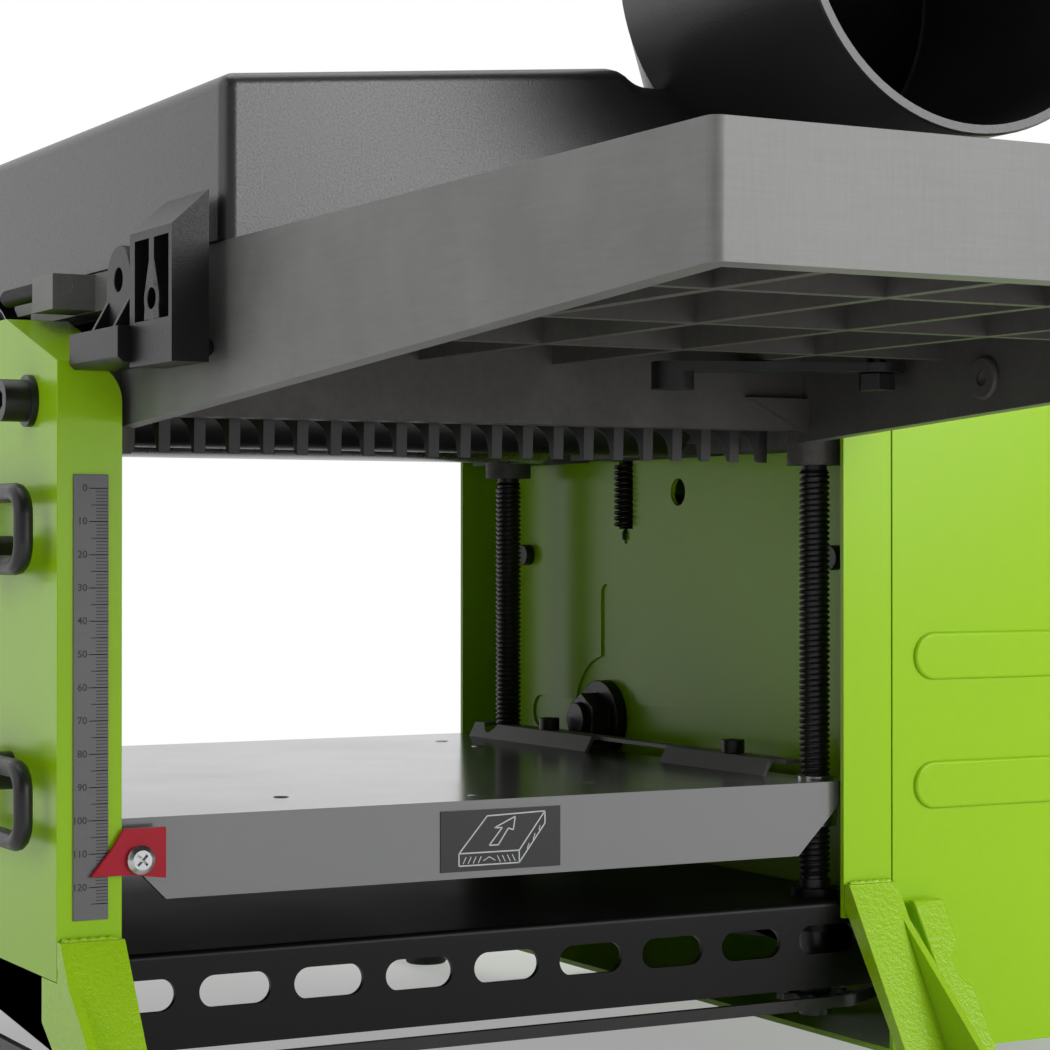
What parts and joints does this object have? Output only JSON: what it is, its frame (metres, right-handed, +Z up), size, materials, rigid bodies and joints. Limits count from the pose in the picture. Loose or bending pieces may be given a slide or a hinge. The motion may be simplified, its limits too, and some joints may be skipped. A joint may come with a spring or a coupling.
{
  "type": "planer thicknesser",
  "caption": "Bench planer thicknesser with cast planing tables, a screw-lifted thicknesser table, geared feed rollers, side drive housing and chip hood with a round outlet.",
  "frame": {"origin": "on the bench surface, midway between the four foot holes", "axes": "+X across the boards towards the drive housing, +Y along the thicknessing feed, +Z up"},
  "size_m": [0.482, 0.9645, 0.431],
  "materials": {
    "green_paint": "gloss powder coat",
    "black_paint": "satin powder coat",
    "cast_alloy": "as cast and machined",
    "bright_steel": "ground",
    "table_steel": "satin grey coat",
    "black_plastic": "fine spark texture",
    "black_steel": "black oxide",
    "rubber": "matte",
    "red_paint": "gloss",
    "scale_grey": "satin plate",
    "motor_grey": "satin",
    "green_plastic": "gloss",
    "red_plastic": "gloss"
  },
  "bodies": {
    "root": {"left_side_frame": "green_paint", "right_side_frame": "green_paint", "legs": "green_paint", "rubber_feet": "rubber", "base_tray": "black_paint", "head_casting": "cast_alloy", "outfeed_table": "cast_alloy", "side_bolts": "black_steel", "guide_studs": "bright_steel", "cutter_bearings": "bright_steel", "roller_bushes": "black_plastic", "roller_springs": "black_steel", "gear_axles": "bright_steel", "feed_chain": "black_steel", "kickback_rod": "bright_steel", "lift_chain": "black_steel", "scale_plate": "scale_grey", "cord_hooks": "black_steel", "fence_stud": "black_steel", "drive_housing": "green_paint", "motor_can": "motor_grey", "motor_bracket": "black_paint", "drive_belt": "rubber", "boss_nut": "black_steel", "switch_box": "black_plastic", "cable_gland": "black_plastic", "lever_bracket": "black_steel"},
    "infeed": {"infeed_table": "cast_alloy"},
    "knob": {"depth_knob": "black_plastic"},
    "cutter": {"cutterblock": "bright_steel", "cutter_knives": "bright_steel", "wedge_screws": "black_steel", "cutter_pulley": "black_plastic"},
    "motor_rotor": {"motor_pulley": "black_plastic"},
    "infeed_roll": {"infeed_roller": "bright_steel"},
    "outfeed_roll": {"outfeed_roller": "bright_steel"},
    "gear_1": {"feed_gear_1": "bright_steel"},
    "gear_2": {"feed_gear_2": "bright_steel"},
    "gear_3": {"feed_gear_3": "bright_steel"},
    "fingers": {"kickback_fingers": "black_steel"},
    "lift": {"thicknesser_table": "table_steel", "lift_nuts": "bright_steel", "width_guards": "table_steel", "guard_screws": "black_steel", "height_pointer": "red_paint", "pointer_screw": "bright_steel"},
    "screw_front_left": {"front_left_spindle": "black_steel"},
    "screw_front_right": {"front_right_spindle": "black_steel"},
    "screw_rear_left": {"rear_left_spindle": "black_steel"},
    "screw_rear_right": {"rear_right_spindle": "black_steel"},
    "crank": {"crank_shaft": "bright_steel", "crank_arm": "black_steel"},
    "grip": {"crank_grip": "black_plastic"},
    "hood": {"chip_hood": "black_plastic"},
    "latch_left": {"left_latch": "black_plastic"},
    "latch_right": {"right_latch": "black_plastic"},
    "lever": {"table_lever": "black_steel"},
    "start": {"start_button": "green_plastic"},
    "stop": {"stop_button": "red_plastic"},
    "reset": {"reset_button": "black_plastic"}
  },
  "joints": [
    {"name": "table_lift", "type": "slide", "parent": "root", "child": "lift", "axis": [0, 0, 1], "range_m": [-0.003, 0.11]},
    {"name": "front_left_screw_turn", "type": "hinge", "parent": "root", "child": "screw_front_left", "pos_m": [-0.1335, -0.128, 0.06], "axis": [0, 0, 1], "range_deg": [-19900, 600]},
    {"name": "front_right_screw_turn", "type": "hinge", "parent": "root", "child": "screw_front_right", "pos_m": [0.1335, -0.128, 0.06], "axis": [0, 0, 1], "range_deg": [-19900, 600]},
    {"name": "rear_left_screw_turn", "type": "hinge", "parent": "root", "child": "screw_rear_left", "pos_m": [-0.1335, 0.1025, 0.06], "axis": [0, 0, 1], "range_deg": [-19900, 600]},
    {"name": "rear_right_screw_turn", "type": "hinge", "parent": "root", "child": "screw_rear_right", "pos_m": [0.1335, 0.1025, 0.06], "axis": [0, 0, 1], "range_deg": [-19900, 600]},
    {"name": "crank_turn", "type": "hinge", "parent": "root", "child": "crank", "pos_m": [0.232, -0.062, 0.06], "axis": [0, 0, 1], "range_deg": [-19900, 600]},
    {"name": "grip_spin", "type": "hinge", "parent": "crank", "child": "grip", "pos_m": [0.232, 0.013, 0.33], "axis": [0, 0, 1], "continuous": true},
    {"name": "cutter_spin", "type": "hinge", "parent": "root", "child": "cutter", "pos_m": [0, 0, 0.255], "axis": [1, 0, 0], "continuous": true},
    {"name": "motor_spin", "type": "hinge", "parent": "root", "child": "motor_rotor", "pos_m": [0, 0.05, 0.122], "axis": [1, 0, 0], "continuous": true},
    {"name": "gear_1_spin", "type": "hinge", "parent": "root", "child": "gear_1", "pos_m": [0, -0.0281, 0.22379], "axis": [1, 0, 0], "continuous": true},
    {"name": "gear_2_spin", "type": "hinge", "parent": "root", "child": "gear_2", "pos_m": [0, -0.05396, 0.19069], "axis": [1, 0, 0], "continuous": true},
    {"name": "gear_3_spin", "type": "hinge", "parent": "root", "child": "gear_3", "pos_m": [0, -0.08614, 0.21769], "axis": [1, 0, 0], "continuous": true},
    {"name": "infeed_roller_spin", "type": "hinge", "parent": "root", "child": "infeed_roll", "pos_m": [0, -0.052, 0.243], "axis": [1, 0, 0], "continuous": true},
    {"name": "outfeed_roller_spin", "type": "hinge", "parent": "root", "child": "outfeed_roll", "pos_m": [0, 0.052, 0.243], "axis": [1, 0, 0], "continuous": true},
    {"name": "finger_swing", "type": "hinge", "parent": "root", "child": "fingers", "pos_m": [0, -0.11, 0.243], "axis": [1, 0, 0], "range_deg": [0, 55]},
    {"name": "infeed_depth", "type": "slide", "parent": "root", "child": "infeed", "axis": [0, 0, 1], "range_m": [-0.003, 0]},
    {"name": "knob_turn", "type": "hinge", "parent": "infeed", "child": "knob", "pos_m": [0, 0.48, 0.258], "axis": [0, 1, 0], "range_deg": [-271, 1]},
    {"name": "hood_lift", "type": "slide", "parent": "root", "child": "hood", "axis": [0, 0, 1], "range_m": [0, 0.15]},
    {"name": "left_latch_swing", "type": "hinge", "parent": "root", "child": "latch_left", "pos_m": [-0.13315, -0.185, 0.2504], "axis": [0, -1, 0], "range_deg": [0, 35]},
    {"name": "right_latch_swing", "type": "hinge", "parent": "root", "child": "latch_right", "pos_m": [0.13315, -0.185, 0.2504], "axis": [0, 1, 0], "range_deg": [0, 35]},
    {"name": "lever_swing", "type": "hinge", "parent": "root", "child": "lever", "pos_m": [0.112, -0.195, 0.25], "axis": [0, 0, 1], "range_deg": [-8, 30]},
    {"name": "start_press", "type": "slide", "parent": "root", "child": "start", "axis": [-1, 0, 0], "range_m": [0, 0.003], "stiffness_N_per_m": 500},
    {"name": "stop_press", "type": "slide", "parent": "root", "child": "stop", "axis": [-1, 0, 0], "range_m": [0, 0.003], "stiffness_N_per_m": 500},
    {"name": "reset_press", "type": "slide", "parent": "root", "child": "reset", "axis": [-1, 0, 0], "range_m": [0, 0.002], "stiffness_N_per_m": 500}
  ],
  "couplings": [
    {"joint": "front_left_screw_turn", "follows": "table_lift", "rad_per_m": -3141.6},
    {"joint": "front_right_screw_turn", "follows": "table_lift", "rad_per_m": -3141.6},
    {"joint": "rear_left_screw_turn", "follows": "table_lift", "rad_per_m": -3141.6},
    {"joint": "rear_right_screw_turn", "follows": "table_lift", "rad_per_m": -3141.6},
    {"joint": "crank_turn", "follows": "table_lift", "rad_per_m": -3141.6},
    {"joint": "motor_spin", "follows": "cutter_spin", "ratio": 0.625},
    {"joint": "gear_1_spin", "follows": "cutter_spin", "ratio": -0.2},
    {"joint": "gear_2_spin", "follows": "cutter_spin", "ratio": 0.04},
    {"joint": "gear_3_spin", "follows": "cutter_spin", "ratio": -0.008},
    {"joint": "infeed_roller_spin", "follows": "cutter_spin", "ratio": -0.008},
    {"joint": "outfeed_roller_spin", "follows": "cutter_spin", "ratio": -0.008},
    {"joint": "knob_turn", "follows": "infeed_depth", "rad_per_m": 1570.8}
  ]
}
